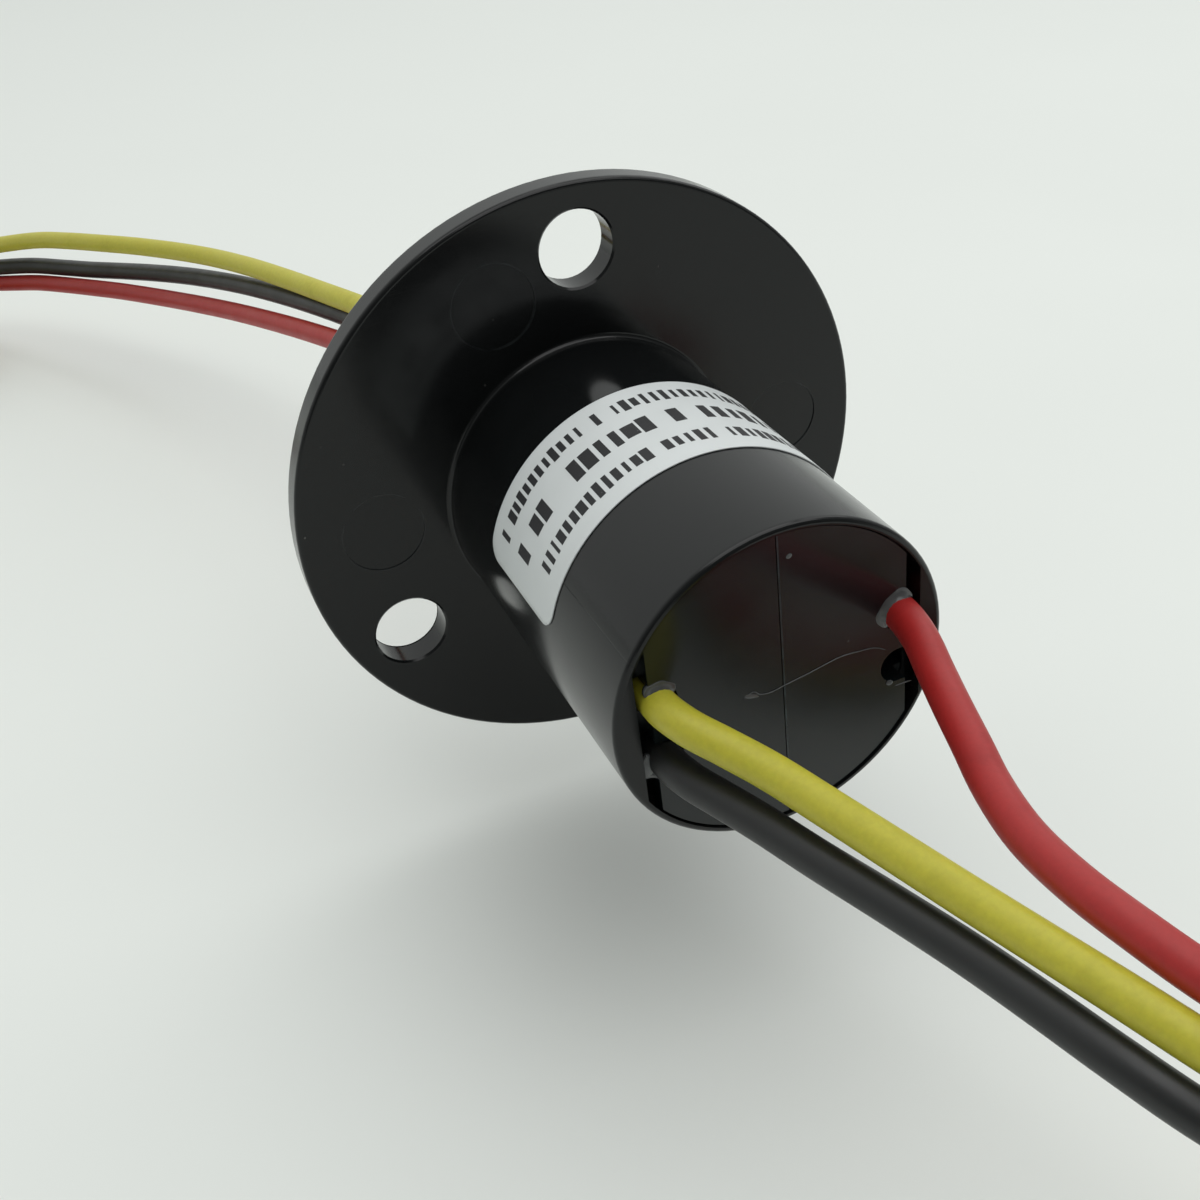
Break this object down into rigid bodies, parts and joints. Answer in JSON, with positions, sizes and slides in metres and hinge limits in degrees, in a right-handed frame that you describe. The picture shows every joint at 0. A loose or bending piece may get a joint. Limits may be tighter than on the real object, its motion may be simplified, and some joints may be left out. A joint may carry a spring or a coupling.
{
  "type": "slip ring",
  "caption": "Capsule slip ring: round flange with bolt holes, slim barrel, half-plate end cover, turning contact spindle on ball bearings and lead wires at both ends.",
  "frame": {"origin": "centre of the bolt circle, on the flange's seating face (the face on the barrel's side)", "axes": "the turning axis is Y: the barrel and its end cover point along -Y, the nose with the turning wires along +Y; +Z runs from the axis through the first bolt hole, up"},
  "size_m": [0.1155, 0.221, 0.0522],
  "materials": {
    "housing_plastic": "polished black moulding",
    "rotor_plastic": "black moulding",
    "insulator": "dark insulating plastic",
    "bearing_steel": "ground steel",
    "ring_brass": "turned and polished",
    "brush_wire": "gold-coloured spring wire",
    "label_paper": "white satin film",
    "seal_resin": "clear resin",
    "wire_yellow": "smooth insulation",
    "wire_black": "smooth insulation",
    "wire_red": "smooth insulation",
    "tie_nylon": "natural nylon"
  },
  "bodies": {
    "stator": {"housing": "housing_plastic", "cover_left": "housing_plastic", "cover_right": "housing_plastic", "label": "label_paper", "front_outer_race": "bearing_steel", "rear_outer_race": "bearing_steel", "brush_yellow": "brush_wire", "brush_black": "brush_wire", "brush_red": "brush_wire", "terminal_yellow": "ring_brass", "terminal_black": "ring_brass", "terminal_red": "ring_brass", "stator_lead_yellow": "wire_yellow", "stator_lead_black": "wire_black", "stator_lead_red": "wire_red", "stator_wire_yellow": "wire_yellow", "stator_wire_black": "wire_black", "stator_wire_red": "wire_red", "stator_coil": "wire_black", "stator_tie": "tie_nylon"},
    "rotor": {"spindle": "rotor_plastic", "front_inner_race": "bearing_steel", "rear_inner_race": "bearing_steel", "rear_clip": "bearing_steel", "ring_yellow": "ring_brass", "ring_red": "ring_brass", "ring_black": "ring_brass", "barrier_1": "insulator", "barrier_2": "insulator", "clamp_collar": "insulator", "nose_seal": "seal_resin", "rotor_lead_yellow": "wire_yellow", "rotor_lead_black": "wire_black", "rotor_lead_red": "wire_red", "rotor_wire_yellow": "wire_yellow", "rotor_wire_black": "wire_black", "rotor_wire_red": "wire_red", "rotor_coil": "wire_black", "rotor_tie": "tie_nylon"},
    "front_balls": {"front_ball_cage": "bearing_steel"},
    "rear_balls": {"rear_ball_cage": "bearing_steel"}
  },
  "joints": [
    {"name": "rotor_spin", "type": "hinge", "parent": "stator", "child": "rotor", "pos_m": [0, 0, 0], "axis": [0, 1, 0], "continuous": true},
    {"name": "front_balls_turn", "type": "hinge", "parent": "stator", "child": "front_balls", "pos_m": [0, 0, 0], "axis": [0, 1, 0], "continuous": true},
    {"name": "rear_balls_turn", "type": "hinge", "parent": "stator", "child": "rear_balls", "pos_m": [0, -0.0239, 0], "axis": [0, 1, 0], "continuous": true}
  ],
  "couplings": [
    {"joint": "front_balls_turn", "follows": "rotor_spin", "ratio": 0.44},
    {"joint": "rear_balls_turn", "follows": "rotor_spin", "ratio": 0.431}
  ]
}
